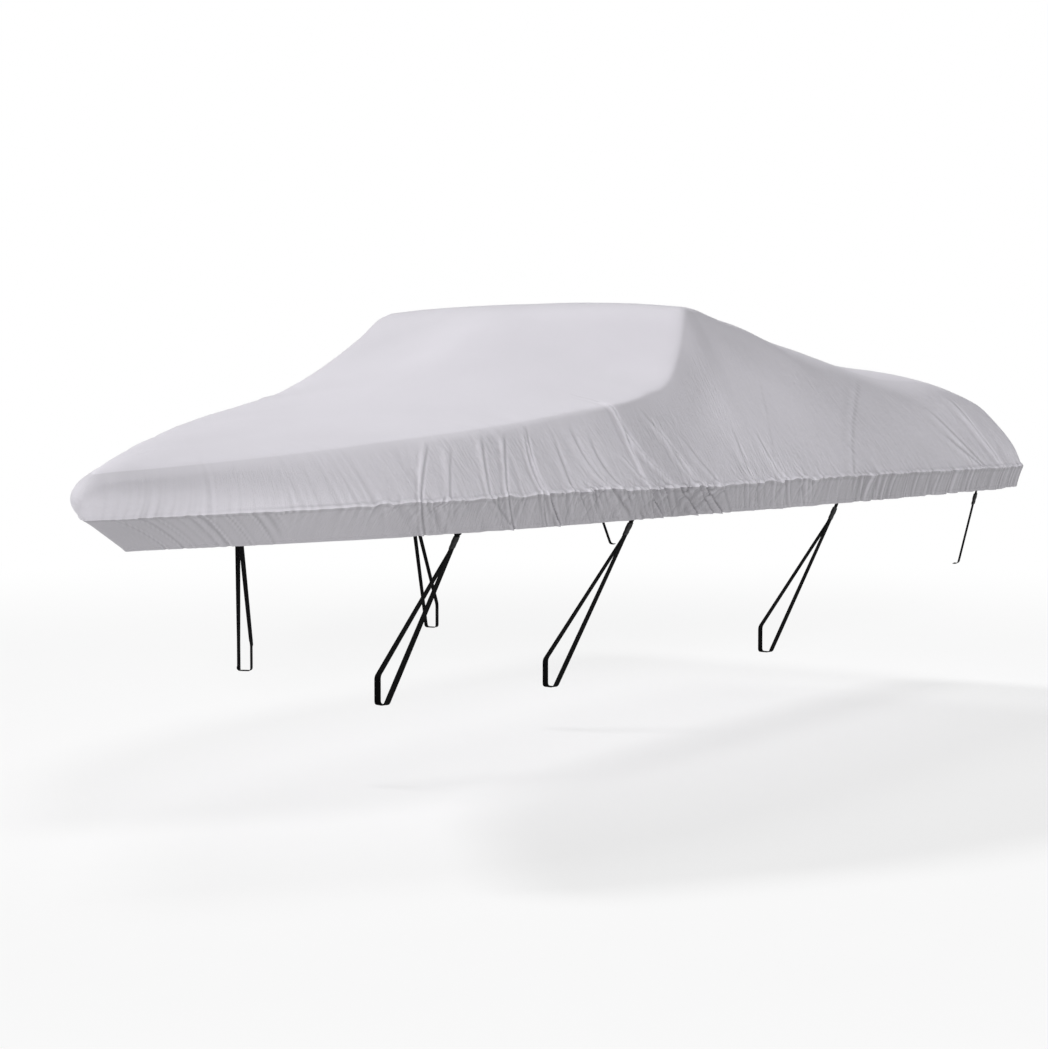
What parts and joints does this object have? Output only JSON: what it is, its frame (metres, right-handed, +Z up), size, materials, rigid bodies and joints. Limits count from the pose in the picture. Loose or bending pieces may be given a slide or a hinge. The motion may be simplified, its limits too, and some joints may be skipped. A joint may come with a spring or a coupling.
{
  "type": "fitted boat cover with tie-down straps",
  "caption": "Grey fitted cover draped over a bow-rider's shape, with a gathered skirt below its seam and black webbing tie-down straps with buckles.",
  "frame": {"origin": "just under the cloth, on the centreline above the windscreen, where the boat's windscreen header holds the cover up", "axes": "+X towards the stern, along the cover's length; +Y to starboard; +Z up"},
  "size_m": [5.7446, 2.2405, 1.4661],
  "materials": {
    "cover_cloth": "light grey coated polyester, plain weave, faint sheen",
    "skirt_cloth": "mid grey coated polyester, plain weave, puckered along its elastic hem",
    "webbing": "black ribbed polypropylene webbing",
    "buckle": "black moulded acetal, satin"
  },
  "bodies": {
    "root": {"top_panel": "cover_cloth", "skirt_panel": "skirt_cloth", "tab_bow_port": "webbing", "tab_fore_port": "webbing", "tab_mid_port": "webbing", "tab_stern_port": "webbing", "tab_fore_starboard": "webbing", "tab_mid_starboard": "webbing", "tab_stern_starboard": "webbing", "buckle_bow_port": "buckle", "buckle_fore_port": "buckle", "buckle_mid_port": "buckle", "buckle_stern_port": "buckle", "buckle_fore_starboard": "buckle", "buckle_mid_starboard": "buckle", "buckle_stern_starboard": "buckle", "strap_bow_port": "webbing", "strap_fore_port": "webbing", "strap_mid_port": "webbing", "strap_stern_port": "webbing", "strap_fore_starboard": "webbing", "strap_mid_starboard": "webbing", "strap_stern_starboard": "webbing"}
  },
  "joints": []
}
